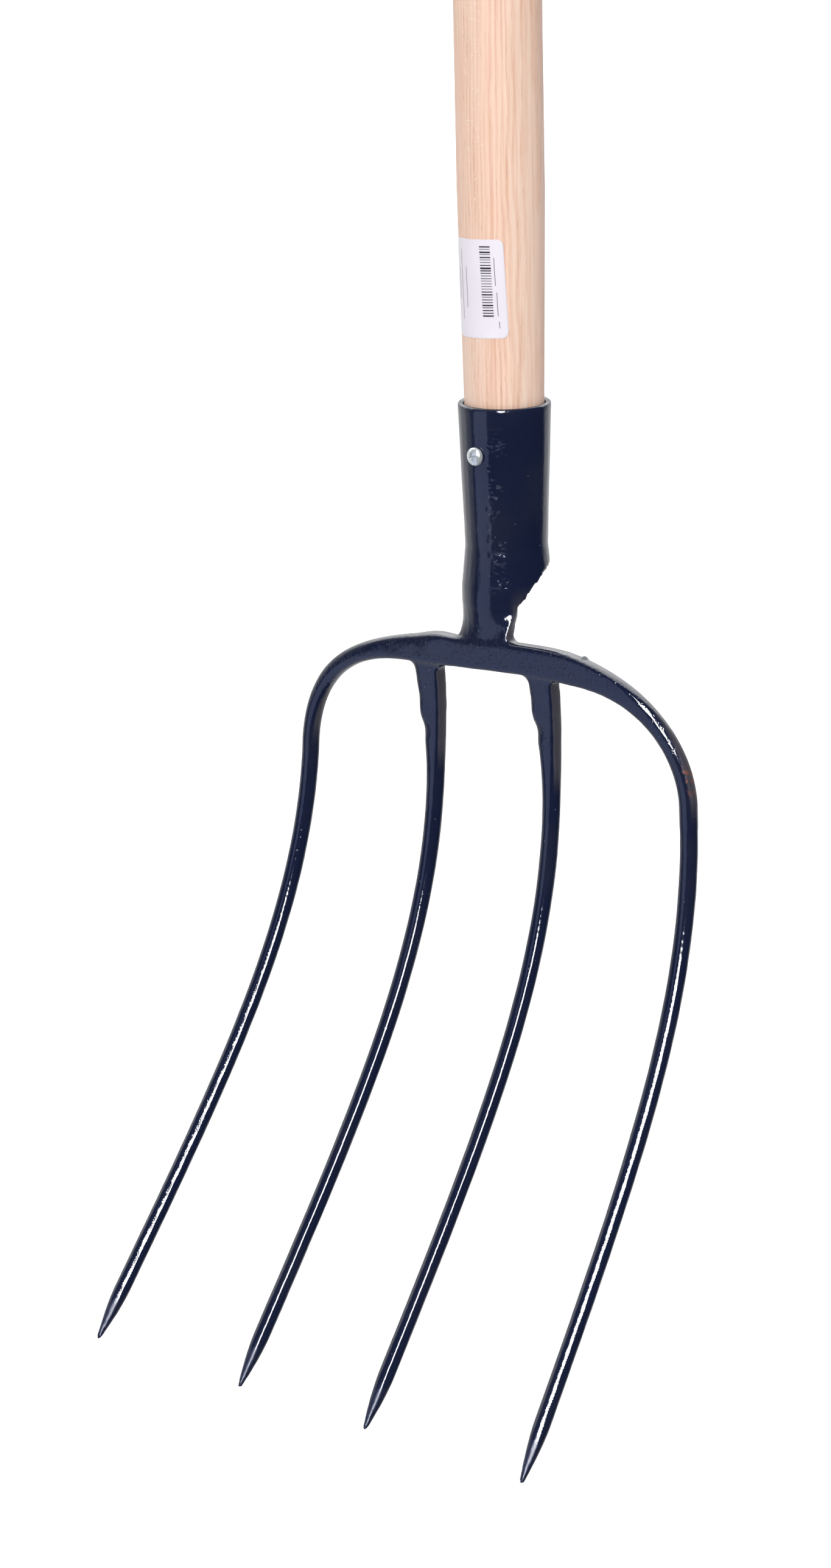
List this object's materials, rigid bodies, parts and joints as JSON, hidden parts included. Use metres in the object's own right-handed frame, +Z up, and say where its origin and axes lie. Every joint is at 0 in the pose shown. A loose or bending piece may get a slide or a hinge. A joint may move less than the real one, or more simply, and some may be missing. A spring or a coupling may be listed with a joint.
{
  "type": "manure fork",
  "caption": "Long handled manure fork: forged steel head with curved tines, a rolled socket screwed to a turned ash handle.",
  "frame": {"origin": "on the handle's axis, in the middle of its straight stretch", "axes": "+Z up along the handle, away from the head; X across the tines; the tines sweep forward towards -Y"},
  "size_m": [0.2596, 0.1771, 1.6707],
  "materials": {
    "enamelled_steel": "gloss navy enamel over forged steel",
    "ash_wood": "turned and sanded pale ash with a straight grain",
    "zinc_screw": "bright zinc plate",
    "paper_label": "smooth white label paper"
  },
  "bodies": {
    "root": {"fork_head": "enamelled_steel", "handle": "ash_wood", "socket_screw": "zinc_screw", "label": "paper_label"}
  },
  "joints": []
}
